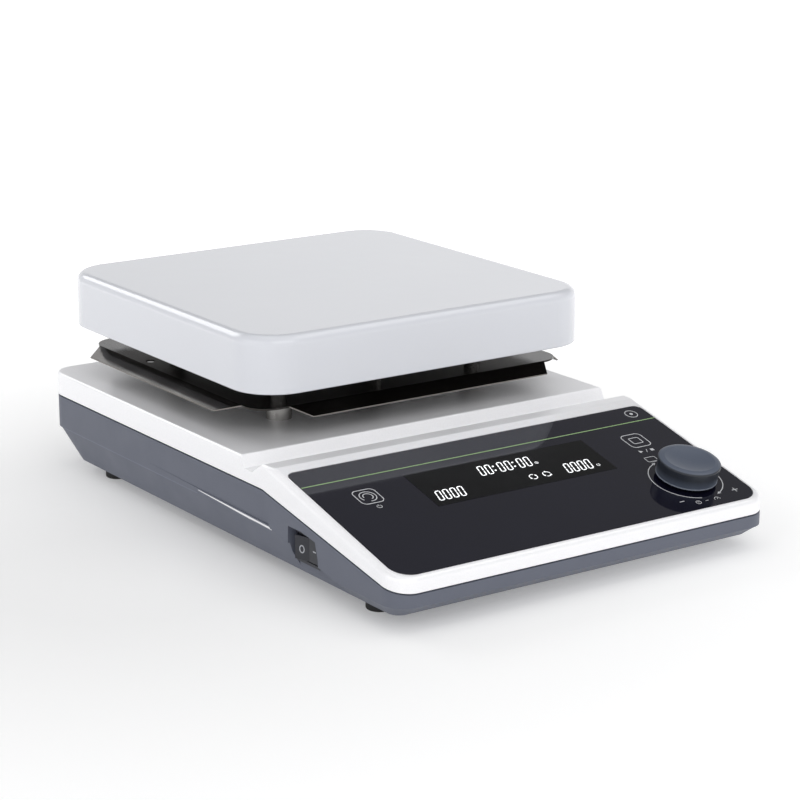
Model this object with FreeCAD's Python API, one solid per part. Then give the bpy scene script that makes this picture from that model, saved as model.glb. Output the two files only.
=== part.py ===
import FreeCAD, Part
import math
import os

V = FreeCAD.Vector

# ---------------------------------------------------------------- driving dimensions (mm)
# Frame: origin on the table under the middle of the body, +Z up, front panel towards -Y.
BODY_W = 206.0           # across X
BODY_D = 308.0           # along Y
CORNER_R = 11.0          # plan corner radius of the body
WALL = 2.5               # wall of the cover and of the housing
HW = BODY_W / 2
HD = BODY_D / 2

DECK_Z = 49.0            # flat deck under the plate
FLOOR_Z = 6.0            # underside of the housing, above the table
FLOOR_T = 2.6
CREASE_Z = 21.0          # below this line the housing narrows
NOSE_CREASE_Z = 11.5     # the same line round the front corners
NOSE_REAR_Y = -57.0      # from here forward the crease runs down to the front
NOSE_FRONT_Y = -108.0
PART_Z = 37.7            # joint between cover and housing, rear half
PART_BREAK_Y = -49.5     # the joint slopes down forward of this line
PART_SLOPE = 0.19
REVEAL_H = 0.8           # shadow gap in the joint
REVEAL_DEPTH = 1.4
INSET_DEPTH = 0.7        # side panels of the housing, at their front end

SLOPE_DEG = 14.37        # tilt of the control panel
SLOPE_Y0 = -150.0        # panel datum: glass surface passes through this point
SLOPE_Z0 = 25.32
SLOPE_TAN = math.tan(math.radians(SLOPE_DEG))
PANEL_EDGE_R = 2.9

GROOVE_REAR_TOP = -31.3  # cross groove behind the panel
GROOVE_REAR_LOW = -34.4
GROOVE_FRONT_LOW = -41.2
GROOVE_FRONT_TOP = -49.8
GROOVE_Z = 43.3

CENTRE_Y = 59.2          # axis of the plate, shield and stirring motor

PLATE_W = 190.4
PLATE_D = 187.4
PLATE_R = 22.0
PLATE_LOW = 73.5
PLATE_TOP = 100.4
PLATE_EDGE_R = 4.5
PLATE_TOP_T = 6.0
PLATE_WALL = 4.0

SHIELD_T = 0.8
SHIELD_Z = 64.0          # upper face of the flat pan
SHIELD_HX = 87.5
SHIELD_HY = 80.2
SHIELD_R = 12.0
WING_OUT = 6.5
WING_DROP = 4.5

POST_X = 56.0
POST_Y = 47.6
LOW_POST_R = 6.2
HIGH_POST_R = 3.9
PLATE_SCREW_R = 2.0

GLASS_T = 2.0
GLASS_HX = 99.8
GLASS_S0 = -1.3          # front edge, measured up the slope from the panel datum
GLASS_S1 = 89.6
GLASS_R_FRONT = 9.5
GLASS_R_REAR = 4.5
WINDOW_HX = 50.0
WINDOW_S0 = 42.2
WINDOW_S1 = 69.9
KEY_X = 75.0
KEY_S = 60.5
LEDGE_LOW = -4.4         # underside of the shelf that carries the glass
BOARD_TOP = -13.0
BOARD_T = 1.6

KNOB_X = 74.96
KNOB_S = 23.27
KNOB_R = 14.6
KNOB_LOW = 2.0
KNOB_TOP = 10.55
DISH_R = 11.6            # round hollow in the top of the knob
DISH_DEEP = 1.45
SHAFT_R = 3.0
RUN_GAP = 0.05           # radial running clearance

MOTOR_R = 25.0
MOTOR_LOW = 12.4
MOTOR_TOP = 32.4
MOTOR_SHAFT_R = 3.0
CARRIER_R = 29.0

FOOT_X = 87.5
FOOT_Y = (-119.0, 113.6)
FOOT_R = 6.25

ROCKER_Y = -82.0
ROCKER_Z = 18.0
ROCKER_SEAT_X = -98.8    # back wall of the switch recess
ROCKER_PIVOT_X = -97.4
ROCKER_TILT = 9.0

INLET_X = 48.0
INLET_Z = 23.3
INLET_SEAT_Y = 143.5     # back wall of the inlet recess


# ---------------------------------------------------------------- helpers
def box(x0, x1, y0, y1, z0, z1):
    return Part.makeBox(x1 - x0, y1 - y0, z1 - z0, V(x0, y0, z0))


def cyl(r, x, y, z0, z1):
    return Part.makeCylinder(r, z1 - z0, V(x, y, z0))


def cyl_along(r, start, direction, length):
    return Part.makeCylinder(r, length, start, direction)


def rounded_wire(x0, x1, y0, y1, radii, z):
    """Closed rounded rectangle; radii in the order front-left, front-right, rear-right, rear-left."""
    a, b, c, d = radii
    k = 1 - math.sqrt(0.5)

    def arc(p, q, s):
        return Part.Arc(V(p[0], p[1], z), V(q[0], q[1], z), V(s[0], s[1], z)).toShape()

    def line(p, q):
        return Part.makeLine(V(p[0], p[1], z), V(q[0], q[1], z))

    edges = [
        line((x0 + a, y0), (x1 - b, y0)),
        arc((x1 - b, y0), (x1 - k * b, y0 + k * b), (x1, y0 + b)),
        line((x1, y0 + b), (x1, y1 - c)),
        arc((x1, y1 - c), (x1 - k * c, y1 - k * c), (x1 - c, y1)),
        line((x1 - c, y1), (x0 + d, y1)),
        arc((x0 + d, y1), (x0 + k * d, y1 - k * d), (x0, y1 - d)),
        line((x0, y1 - d), (x0, y0 + a)),
        arc((x0, y0 + a), (x0 + k * a, y0 + k * a), (x0 + a, y0)),
    ]
    return Part.Wire(edges)


def slab(x0, x1, y0, y1, r, z0, z1):
    radii = r if isinstance(r, tuple) else (r, r, r, r)
    face = Part.Face(rounded_wire(x0, x1, y0, y1, radii, z0))
    return face.extrude(V(0, 0, z1 - z0))


def tapered(low, high):
    """Solid between two rounded rectangles, each (x0, x1, y0, y1, front r, rear r, z)."""
    wires = []
    for x0, x1, y0, y1, front, rear, z in (low, high):
        wires.append(rounded_wire(x0, x1, y0, y1, (front, front, rear, rear), z))
    return Part.makeLoft(wires, True, True)


def side_prism(points, x0, x1):
    """Extrude a (y, z) polygon along X."""
    corners = [V(x0, y, z) for y, z in points]
    face = Part.Face(Part.makePolygon(corners + corners[:1]))
    return face.extrude(V(x1 - x0, 0, 0))


def turned(points, x=0.0, y=0.0):
    """Revolve an (r, z) polygon about a vertical axis."""
    corners = [V(r, 0, z) for r, z in points]
    face = Part.Face(Part.makePolygon(corners + corners[:1]))
    solid = face.revolve(V(0, 0, 0), V(0, 0, 1), 360)
    solid.translate(V(x, y, 0))
    return solid


def fuse(shapes):
    joined = shapes[0]
    for shape in shapes[1:]:
        joined = joined.fuse(shape)
    return joined.removeSplitter()


def cut(shape, tools):
    for tool in tools:
        shape = shape.cut(tool)
    return shape


def group(shapes):
    return Part.makeCompound(shapes)


def on_panel(shape):
    """Move a shape drawn on a level panel (x, up-slope, height) to the tilted one."""
    placed = shape.copy()
    placed.rotate(V(0, 0, 0), V(1, 0, 0), SLOPE_DEG)
    placed.translate(V(0, SLOPE_Y0, SLOPE_Z0))
    return placed


def slope_z(y):
    return SLOPE_Z0 + SLOPE_TAN * (y - SLOPE_Y0)


def joint_z(y):
    return PART_Z + PART_SLOPE * min(0.0, y - PART_BREAK_Y)


def post_places():
    places = []
    for sx in (-1, 1):
        for sy in (-1, 1):
            places.append((sx * POST_X, CENTRE_Y + sy * POST_Y))
    return places


def motor_screw_places():
    return [(sx * 33.0, CENTRE_Y + sy * 22.0) for sx in (-1, 1) for sy in (-1, 1)]


def foot_places():
    return [(sx * FOOT_X, y) for sx in (-1, 1) for y in FOOT_Y]


def board_places():
    return [(x, s) for x in (-76.0, 0.0, 60.0) for s in (14.0, 75.0)]


# ---------------------------------------------------------------- body shells
def body_prism(inset, z0, z1):
    return slab(
        -HW + inset, HW - inset, -HD + inset, HD - inset, CORNER_R - inset, z0, z1
    )


def cover_outline():
    ridge_y = SLOPE_Y0 + (DECK_Z - SLOPE_Z0) / SLOPE_TAN
    return [
        (-HD, joint_z(-HD)),
        (-HD, slope_z(-HD)),
        (ridge_y, DECK_Z),
        (GROOVE_FRONT_TOP, DECK_Z),
        (GROOVE_FRONT_LOW, GROOVE_Z),
        (GROOVE_REAR_LOW, GROOVE_Z),
        (GROOVE_REAR_TOP, DECK_Z),
        (HD, DECK_Z),
        (HD, PART_Z),
        (PART_BREAK_Y, PART_Z),
    ]


def cover_outer():
    solid = side_prism(cover_outline(), -HW, HW).common(body_prism(0.0, 0.0, 80.0))
    panel = []
    for edge in solid.Edges:
        b = edge.BoundBox
        on_slope = abs(b.ZMax - slope_z(b.YMax)) < 0.01 and abs(b.ZMin - slope_z(b.YMin)) < 0.01
        if on_slope and b.YMin < -60:
            panel.append(edge)
    solid = solid.makeFillet(PANEL_EDGE_R, panel)
    soft = []
    for edge in solid.Edges:
        b = edge.BoundBox
        level = b.ZLength < 0.01 and b.ZMin > GROOVE_Z - 0.01
        deck_rim = b.ZMin > DECK_Z - 0.01 and b.YMax > 0
        cross_edge = b.YLength < 0.01 and b.XLength > BODY_W - 14
        if level and (deck_rim or cross_edge):
            soft.append(edge)
    return solid.makeFillet(1.3, soft)


def cover_inside():
    drop = -LEDGE_LOW / math.cos(math.radians(SLOPE_DEG))
    under_groove = GROOVE_Z - WALL
    floor_y = SLOPE_Y0 + (under_groove + drop - SLOPE_Z0) / SLOPE_TAN
    front = -HD + WALL
    profile = [
        (front, 0.0),
        (front, slope_z(front) - drop),
        (floor_y, under_groove),
        (GROOVE_REAR_TOP + 1.5, under_groove),
        (GROOVE_REAR_TOP + 4.0, DECK_Z - WALL),
        (HD - WALL, DECK_Z - WALL),
        (HD - WALL, 0.0),
    ]
    return side_prism(profile, -HW, HW).common(body_prism(WALL, -1.0, 80.0))


def panel_recess():
    rim = GLASS_HX + 0.15
    return slab(
        -rim, rim, GLASS_S0 - 0.15, GLASS_S1 + 0.15,
        (GLASS_R_FRONT, GLASS_R_FRONT, GLASS_R_REAR, GLASS_R_REAR), -GLASS_T, 6.0,
    )


def boss_room():
    """Space that may be filled inside the cover, kept clear of its outer skin."""
    outline = [(y, z - 1.0) for y, z in cover_outline()[1:-2]]
    outline = [(-HD, 0.0)] + outline + [(HD, 0.0)]
    return side_prism(outline, -HW, HW).common(body_prism(1.0, 0.0, 80.0))


def top_cover():
    shell = cover_outer().cut(cover_inside())
    bosses = []
    holes = []
    for x, y in foot_places():
        bosses.append(cyl(4.5, x, y, 14.0, DECK_Z))
        holes.append(cyl(1.6, x, y, 13.0, 26.0))
    for x, y in motor_screw_places():
        bosses.append(cyl(4.0, x, y, MOTOR_TOP + 2.0, DECK_Z))
        holes.append(cyl(1.5, x, y, MOTOR_TOP + 1.0, 44.0))
    room = boss_room()
    shell = fuse([shell] + [boss.common(room) for boss in bosses])
    shell = shell.cut(on_panel(panel_recess()))
    window = slab(-WINDOW_HX - 2.2, WINDOW_HX + 2.2, WINDOW_S0 - 1.7, WINDOW_S1 + 1.7, 1.5, -9.0, 1.0)
    holes.append(on_panel(window))
    holes.append(on_panel(cyl(5.0, KNOB_X, KNOB_S, -9.0, 1.0)))
    for x in (-KEY_X, KEY_X):
        holes.append(on_panel(cyl(7.0, x, KEY_S, -9.0, 1.0)))
    for x, y in post_places():
        holes.append(cyl(PLATE_SCREW_R + 0.3, x, y, 40.0, 60.0))
    holes.append(cyl(4.0, 0.0, CENTRE_Y - POST_Y, 40.0, 60.0))
    holes.append(cyl(7.0, 0.0, CENTRE_Y + POST_Y, 40.0, 60.0))
    return cut(shell, holes)


def joint_line():
    """Lower edge of the cover, from front to rear, as (y, z) points beyond both ends."""
    return [(-HD - 5, joint_z(-HD - 5)), (PART_BREAK_Y, PART_Z), (HD + 5, PART_Z)]


def housing_nose():
    """Front of the housing, which stays upright lower down than the rear does."""
    low = (-98.0, 98.0, -145.8, 141.0, 5.5, 14.0, FLOOR_Z)
    high = (-102.6, 102.6, -153.6, 150.0, 10.6, 11.5, NOSE_CREASE_Z)
    foot = tapered(low, high).common(body_prism(0.0, 0.0, NOSE_CREASE_Z))
    block = foot.fuse(body_prism(0.0, NOSE_CREASE_Z, CREASE_Z))
    region = [
        (-HD - 5, 0.0), (-HD - 5, CREASE_Z), (NOSE_REAR_Y, CREASE_Z),
        (NOSE_FRONT_Y, NOSE_CREASE_Z), (NOSE_FRONT_Y - 8.0, 0.0),
    ]
    return block.common(side_prism(region, -HW - 5, HW + 5))


def housing_envelope():
    """Outside of the housing: upright walls over a part that narrows to the floor."""
    low = (-98.0, 98.0, -145.4, 142.4, 8.0, 14.0, FLOOR_Z)
    high = (-102.7, 102.7, -156.2, HD - 0.2, 12.0, 12.0, CREASE_Z)
    narrow = tapered(low, high).common(body_prism(0.0, 0.0, CREASE_Z))
    upright = body_prism(0.0, CREASE_Z, 60.0)
    below = side_prism([(-HD - 5, 0.0)] + joint_line() + [(HD + 5, 0.0)], -HW - 5, HW + 5)
    return fuse([narrow, housing_nose(), upright]).common(below)


def joint_reveal():
    """Shallow step round the top of the housing, seen as a shadow gap under the cover."""
    low = [(y, z - REVEAL_H) for y, z in reversed(joint_line())]
    band = side_prism(joint_line() + low, -HW - 5, HW + 5)
    return band.cut(body_prism(REVEAL_DEPTH, 0.0, 60.0))


def side_insets():
    """Panels let into both sides: flush at the rear, INSET_DEPTH deep at the front edge."""
    outline = side_prism([(57.0, 34.5), (-50.2, 34.5), (-54.6, 22.3), (57.0, 24.6)], -HW - 5, HW + 5)
    insets = []
    for s in (-1, 1):
        plan = [
            V(s * HW, 57.0, 20.0), V(s * (HW + 1.0), 57.0, 20.0),
            V(s * (HW + 1.0), -57.0, 20.0), V(s * (HW - INSET_DEPTH), -57.0, 20.0),
        ]
        wedge = Part.Face(Part.makePolygon(plan + plan[:1])).extrude(V(0, 0, 20.0))
        insets.append(wedge.common(outline))
    return insets


def housing_hollow():
    low_z = FLOOR_Z + FLOOR_T
    low = (-96.0, 96.0, -144.2, 140.2, 12.0, 12.0, low_z)
    high = (-100.2, 100.2, -153.0, HD - WALL - 0.2, 9.5, 9.5, CREASE_Z)
    narrow = tapered(low, high).common(body_prism(WALL, 0.0, CREASE_Z))
    return narrow.fuse(body_prism(WALL, CREASE_Z, 60.0))


def accent_outline():
    return [(7.0, 23.0), (-55.0, 21.7), (-56.6, 20.3), (7.0, 22.7)]


def accent_strips():
    strips = []
    envelope = housing_envelope()
    for x0, x1 in ((-HW - 1, -HW + 1.1), (HW - 1.1, HW + 1)):
        strips.append(side_prism(accent_outline(), x0, x1).common(envelope))
    return group(strips)


def rocker_recess():
    outline = [
        (-70.6, 26.4), (-81.0, 26.5), (-92.2, 24.8), (-94.2, 17.6), (-94.6, 13.2),
        (-99.0, 9.6), (-99.0, 4.0), (-73.0, 4.0), (-73.5, 10.0), (-70.2, 14.0),
    ]
    return side_prism(outline, -HW - 2, ROCKER_SEAT_X)


def vent_slots():
    slots = []
    for x in (-38.0, 38.0):
        for step in range(6):
            y = CENTRE_Y - 30.0 + 12.0 * step
            slots.append(slab(x - 14, x + 14, y - 1.6, y + 1.6, 1.5, FLOOR_Z - 1, FLOOR_Z + FLOOR_T + 1))
    return slots


def lower_housing():
    shell = housing_envelope().cut(housing_hollow())
    additions = [
        box(-HW + 0.5, ROCKER_SEAT_X + 2.4, -103.0, -66.0, FLOOR_Z + 0.5, 28.6),
        box(INLET_X - 30, INLET_X + 30, INLET_SEAT_Y - 2.4, HD - 1.0, FLOOR_Z + 1.0, PART_Z - 0.4),
    ]
    for x, y in foot_places():
        additions.append(cyl(4.5, x, y, FLOOR_Z + 0.2, 13.9))
    for x, y in supply_places():
        additions.append(cyl(3.2, x, y, FLOOR_Z + 0.5, 13.0))
    envelope = housing_envelope()
    shell = fuse([shell] + [item.common(envelope) for item in additions])
    holes = [
        rocker_recess(),
        box(-HW, -90, ROCKER_Y - 9.5, ROCKER_Y + 9.5, ROCKER_Z - 6.5, ROCKER_Z + 6.5),
        inlet_recess(),
        box(INLET_X - 22.2, INLET_X + 22.2, 135, HD + 1, INLET_Z - 10.2, INLET_Z + 10.2),
    ]
    for x, y in foot_places():
        holes.append(cyl(1.9, x, y, 0.0, 20.0))
        holes.append(cyl(3.4, x, y, 0.0, FLOOR_Z + 1.4))
    for x, y in supply_places():
        holes.append(cyl(1.2, x, y, 9.0, 14.0))
    for x0, x1 in ((-HW - 1, -HW + 1.1), (HW - 1.1, HW + 1)):
        holes.append(side_prism(accent_outline(), x0, x1))
    holes.append(joint_reveal())
    return cut(shell, holes + side_insets() + vent_slots())


def inlet_recess():
    return box(INLET_X - 26.0, INLET_X + 26.0, INLET_SEAT_Y, HD + 2, INLET_Z - 12.6, INLET_Z + 12.6)


def rubber_feet():
    feet = []
    for x, y in foot_places():
        pad = cyl(FOOT_R, x, y, 0.0, FLOOR_Z)
        bottom = [e for e in pad.Edges if e.BoundBox.ZMax < 0.1 and e.Length > 20]
        pad = pad.makeFillet(0.8, bottom)
        spigot = cyl(3.3, x, y, FLOOR_Z, FLOOR_Z + 1.4)
        foot = fuse([pad, spigot])
        feet.append(cut(foot, [cyl(1.9, x, y, -1.0, 9.0), cyl(3.2, x, y, -1.0, 4.0)]))
    return group(feet)


def housing_screws():
    screws = []
    for x, y in foot_places():
        head = cyl(3.0, x, y, 1.6, 4.0)
        socket = cyl(1.2, x, y, 1.0, 2.8)
        screws.append(fuse([head, cyl(1.5, x, y, 4.0, 25.0)]).cut(socket))
    return group(screws)


# ---------------------------------------------------------------- plate and shield
def top_plate():
    hx = PLATE_W / 2
    hy = PLATE_D / 2
    y0 = CENTRE_Y - hy
    y1 = CENTRE_Y + hy
    outer = slab(-hx, hx, y0, y1, PLATE_R, PLATE_LOW, PLATE_TOP)
    top = [e for e in outer.Edges if e.BoundBox.ZMin > PLATE_TOP - 0.01]
    outer = outer.makeFillet(PLATE_EDGE_R, top)
    low = [e for e in outer.Edges if e.BoundBox.ZMax < PLATE_LOW + 0.01]
    outer = outer.makeFillet(0.8, low)
    t = PLATE_WALL
    hollow = slab(-hx + t, hx - t, y0 + t, y1 - t, PLATE_R - t, PLATE_LOW - 1, PLATE_TOP - PLATE_TOP_T)
    shell = outer.cut(hollow)
    bosses = [cyl(7.0, x, y, PLATE_LOW + 1.1, PLATE_TOP - 3.0) for x, y in post_places()]
    shell = fuse([shell] + bosses)
    return cut(shell, [cyl(PLATE_SCREW_R + 0.05, x, y, PLATE_LOW, 88.0) for x, y in post_places()])


def heater_cover():
    hx = PLATE_W / 2 - PLATE_WALL - 0.3
    hy = PLATE_D / 2 - PLATE_WALL - 0.3
    corner = PLATE_R - PLATE_WALL - 0.3
    sheet = slab(-hx, hx, CENTRE_Y - hy, CENTRE_Y + hy, corner, PLATE_LOW + 0.3, PLATE_LOW + 1.1)
    holes = [cyl(PLATE_SCREW_R + 0.3, x, y, 70.0, 80.0) for x, y in post_places()]
    holes.append(cyl(2.1, 0.0, CENTRE_Y - POST_Y, 70.0, 80.0))
    holes.append(cyl(4.3, 0.0, CENTRE_Y + POST_Y, 70.0, 80.0))
    return cut(sheet, holes)


def insulation_pad():
    low = PLATE_LOW + 1.1
    pad = slab(-88.0, 88.0, CENTRE_Y - 86.0, CENTRE_Y + 86.0, 13.0, low, 89.0)
    holes = [cyl(7.3, x, y, 70.0, 95.0) for x, y in post_places()]
    holes.append(cyl(2.1, 0.0, CENTRE_Y - POST_Y, 70.0, 95.0))
    holes.append(cyl(4.3, 0.0, CENTRE_Y + POST_Y, 70.0, 95.0))
    return cut(pad, holes)


def heating_element():
    """Flat mica heater with concentric resistance tracks on it."""
    base_low = 89.0
    plate = slab(-86.0, 86.0, CENTRE_Y - 84.0, CENTRE_Y + 84.0, 12.0, base_low, base_low + 3.0)
    ribs = []
    for step in range(7):
        half = 78.0 - 10.0 * step
        y0 = CENTRE_Y - half
        y1 = CENTRE_Y + half
        ring = slab(-half, half, y0, y1, 6.0, base_low + 3.0, PLATE_TOP - PLATE_TOP_T)
        inner = slab(-half + 5, half - 5, y0 + 5, y1 - 5, 3.0, base_low, 99.0)
        ribs.append(ring.cut(inner))
    element = fuse([plate] + ribs)
    holes = [cyl(7.3, x, y, 80.0, 99.0) for x, y in post_places()]
    holes.append(cyl(2.1, 0.0, CENTRE_Y - POST_Y, 80.0, 93.0))
    return cut(element, holes)


def wing(fold_a, fold_b, low_a, low_b):
    """One bent-down edge of the shield, from its fold line to its lower edge."""
    face = Part.Face(Part.makePolygon([fold_a, fold_b, low_b, low_a, fold_a]))
    normal = (fold_b - fold_a).cross(low_a - fold_a)
    normal.normalize()
    if normal.z > 0:
        normal = normal * -1
    return face.extrude(normal * SHIELD_T)


def heat_shield():
    hx = SHIELD_HX
    hy = SHIELD_HY
    z = SHIELD_Z
    low = SHIELD_Z - WING_DROP
    pan = slab(-hx, hx, CENTRE_Y - hy, CENTRE_Y + hy, SHIELD_R, z - SHIELD_T, z)
    wings = []
    for s in (-1, 1):
        y = CENTRE_Y + s * hy
        out = y + s * WING_OUT
        wings.append(
            wing(V(s * 70.3, y, z), V(-s * 75.5, y, z), V(s * 61.7, out, low), V(-s * 72.6, out, low))
        )
        x = s * hx
        out = x + s * WING_OUT
        wings.append(
            wing(V(x, CENTRE_Y + s * 66.0, z), V(x, CENTRE_Y - s * 69.6, z),
                 V(out, CENTRE_Y + s * 52.5, low), V(out, CENTRE_Y - s * 67.6, low))
        )
    sheet = fuse([pan] + wings)
    holes = [cyl(PLATE_SCREW_R + 0.3, x, y, 55.0, 70.0) for x, y in post_places()]
    for s in (-1, 1):
        holes.append(cyl(2.4, s * 82.0, CENTRE_Y - s * 28.0, 55.0, 70.0))
    holes.append(cyl(2.4, 0.0, CENTRE_Y - POST_Y, 55.0, 70.0))
    holes.append(cyl(5.0, 0.0, CENTRE_Y + POST_Y, 55.0, 70.0))
    return cut(sheet, holes)


def spacer(radius, x, y, z0, z1):
    return cyl(radius, x, y, z0, z1).cut(cyl(PLATE_SCREW_R + 0.2, x, y, z0 - 1, z1 + 1))


def deck_posts():
    return group([spacer(LOW_POST_R, x, y, DECK_Z, SHIELD_Z - SHIELD_T) for x, y in post_places()])


def plate_posts():
    return group([spacer(HIGH_POST_R, x, y, SHIELD_Z, PLATE_LOW + 0.3) for x, y in post_places()])


def plate_screws():
    screws = []
    under = DECK_Z - WALL
    for x, y in post_places():
        head = cyl(3.6, x, y, under - 3.0, under)
        slot = box(x - 4, x + 4, y - 0.5, y + 0.5, under - 4, under - 2)
        screws.append(fuse([head, cyl(PLATE_SCREW_R, x, y, under, 87.0)]).cut(slot))
    return group(screws)


def temperature_sensor():
    """Thin steel stem from the heater down through the shield and the deck."""
    y = CENTRE_Y - POST_Y
    stem = cyl(1.75, 0.0, y, 42.0, 91.0)
    tip = cyl(1.9, 0.0, y, 88.0, 91.5)
    return fuse([stem, tip])


def sensor_grommet():
    y = CENTRE_Y - POST_Y
    flange_low = cyl(5.6, 0.0, y, DECK_Z - WALL - 1.2, DECK_Z - WALL)
    neck = cyl(3.9, 0.0, y, DECK_Z - WALL, DECK_Z)
    flange_high = cyl(5.6, 0.0, y, DECK_Z, DECK_Z + 1.2)
    return fuse([flange_low, neck, flange_high]).cut(cyl(1.8, 0.0, y, 40.0, 60.0))


def lead_sleeve():
    """Insulating tube round the heater's leads."""
    y = CENTRE_Y + POST_Y
    tube = cyl(4.2, 0.0, y, 43.0, 88.8)
    return tube.cut(cyl(2.6, 0.0, y, 42.0, 90.0))


def lead_grommet():
    y = CENTRE_Y + POST_Y
    flange_low = cyl(9.0, 0.0, y, DECK_Z - WALL - 1.4, DECK_Z - WALL)
    neck = cyl(6.9, 0.0, y, DECK_Z - WALL, DECK_Z)
    flange_high = cyl(9.0, 0.0, y, DECK_Z, DECK_Z + 1.4)
    return fuse([flange_low, neck, flange_high]).cut(cyl(4.25, 0.0, y, 40.0, 60.0))


# ---------------------------------------------------------------- stirring drive
def motor_bracket():
    plate = slab(-40.0, 40.0, CENTRE_Y - 28.0, CENTRE_Y + 28.0, 5.0, MOTOR_TOP, MOTOR_TOP + 2.0)
    holes = [cyl(7.2, 0.0, CENTRE_Y, 30.0, 40.0)]
    for x, y in motor_screw_places():
        holes.append(cyl(1.7, x, y, 30.0, 40.0))
    for sx in (-1, 1):
        holes.append(cyl(1.3, sx * 17.0, CENTRE_Y, 30.0, 40.0))
    return cut(plate, holes)


def bracket_screws():
    screws = []
    for x, y in motor_screw_places():
        head = cyl(2.8, x, y, MOTOR_TOP - 2.0, MOTOR_TOP)
        screws.append(fuse([head, cyl(1.4, x, y, MOTOR_TOP, 43.0)]))
    return group(screws)


def motor_screws():
    screws = []
    for sx in (-1, 1):
        head = cyl(2.2, sx * 17.0, CENTRE_Y, MOTOR_TOP + 2.0, MOTOR_TOP + 3.4)
        screws.append(fuse([head, cyl(1.2, sx * 17.0, CENTRE_Y, MOTOR_TOP - 2.5, MOTOR_TOP + 2.0)]))
    return group(screws)


def motor_can():
    shell = turned(
        [(6.0, MOTOR_LOW), (MOTOR_R - 1.5, MOTOR_LOW), (MOTOR_R, MOTOR_LOW + 1.5),
         (MOTOR_R, MOTOR_TOP - 0.6), (MOTOR_R - 0.6, MOTOR_TOP), (6.0, MOTOR_TOP),
         (6.0, MOTOR_TOP - 3.0), (MOTOR_R - 1.8, MOTOR_TOP - 3.0),
         (MOTOR_R - 1.8, MOTOR_LOW + 2.0), (6.0, MOTOR_LOW + 2.0)],
        0.0, CENTRE_Y,
    )
    return cut(shell, [cyl(1.2, sx * 17.0, CENTRE_Y, MOTOR_TOP - 4, MOTOR_TOP + 1) for sx in (-1, 1)])


def motor_bearings():
    bushes = []
    for z0, z1 in ((MOTOR_LOW, MOTOR_LOW + 3.0), (MOTOR_TOP - 3.0, MOTOR_TOP + 1.0)):
        ring = cyl(5.95, 0.0, CENTRE_Y, z0, z1)
        bushes.append(ring.cut(cyl(MOTOR_SHAFT_R + RUN_GAP, 0.0, CENTRE_Y, z0 - 1, z1 + 1)))
    return group(bushes)


def motor_stator():
    low = MOTOR_LOW + 4.0
    high = MOTOR_TOP - 4.6
    ring = cyl(MOTOR_R - 1.9, 0.0, CENTRE_Y, low, high).cut(cyl(15.0, 0.0, CENTRE_Y, low - 1, high + 1))
    slots = []
    for step in range(9):
        angle = math.radians(40.0 * step + 20.0)
        x = 18.0 * math.cos(angle)
        y = CENTRE_Y + 18.0 * math.sin(angle)
        slots.append(cyl(2.2, x, y, low - 1, high + 1))
    return cut(ring, slots)


def motor_rotor():
    low = MOTOR_LOW + 4.0
    high = MOTOR_TOP - 4.6
    bore = cyl(MOTOR_SHAFT_R + 0.02, 0.0, CENTRE_Y, low - 1, high + 1)
    return cyl(14.4, 0.0, CENTRE_Y, low, high).cut(bore)


def motor_shaft():
    shaft = cyl(MOTOR_SHAFT_R, 0.0, CENTRE_Y, MOTOR_LOW + 0.4, 44.0)
    flat = box(2.4, 4.0, CENTRE_Y - 4, CENTRE_Y + 4, 36.5, 44.5)
    return shaft.cut(flat)


def magnet_carrier():
    body = turned(
        [(MOTOR_SHAFT_R + 0.02, 36.4), (8.0, 36.4), (8.0, 38.4), (CARRIER_R, 38.4),
         (CARRIER_R, 42.6), (MOTOR_SHAFT_R + 0.02, 42.6)],
        0.0, CENTRE_Y,
    )
    pockets = [cyl(8.0, sx * 19.0, CENTRE_Y, 39.4, 45.0) for sx in (-1, 1)]
    screw_hole = cyl_along(1.25, V(0, CENTRE_Y + 2, 40.4), V(0, 1, 0), 40)
    return cut(body, pockets + [screw_hole])


def carrier_screw():
    return cyl_along(1.2, V(0, CENTRE_Y + 3.1, 40.4), V(0, 1, 0), 8.0)


def drive_magnets():
    return group([cyl(7.9, sx * 19.0, CENTRE_Y, 39.4, 44.6) for sx in (-1, 1)])


# ---------------------------------------------------------------- control panel
def glass_panel():
    sheet = slab(
        -GLASS_HX, GLASS_HX, GLASS_S0, GLASS_S1,
        (GLASS_R_FRONT, GLASS_R_FRONT, GLASS_R_REAR, GLASS_R_REAR), -GLASS_T, 0.0,
    )
    rim = [e for e in sheet.Edges if e.BoundBox.ZMin > -0.01]
    sheet = sheet.makeChamfer(0.25, rim)
    return on_panel(sheet.cut(cyl(4.3, KNOB_X, KNOB_S, -5, 5)))


def display_module():
    """Backlit display: viewing face under the glass, frame and two edge connectors."""
    mid = (WINDOW_S0 + WINDOW_S1) / 2
    half = (WINDOW_S1 - WINDOW_S0) / 2
    face = slab(-WINDOW_HX, WINDOW_HX, WINDOW_S0, WINDOW_S1, 0.8, -4.0, -GLASS_T)
    frame = slab(-WINDOW_HX - 1.8, WINDOW_HX + 1.8, mid - half - 1.3, mid + half + 1.3, 1.2, -10.0, -3.0)
    legs = [box(-48, 48, mid + s * 12.0 - 1.2, mid + s * 12.0 + 1.2, BOARD_TOP, -10.0) for s in (-1, 1)]
    return on_panel(fuse([face, frame] + legs))


def control_board():
    board = slab(-82.4, 82.4, 8.0, 82.0, 2.0, BOARD_TOP - BOARD_T, BOARD_TOP)
    holes = [cyl(1.7, x, s, -20, -5) for x, s in board_places()]
    return on_panel(cut(board, holes))


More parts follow.
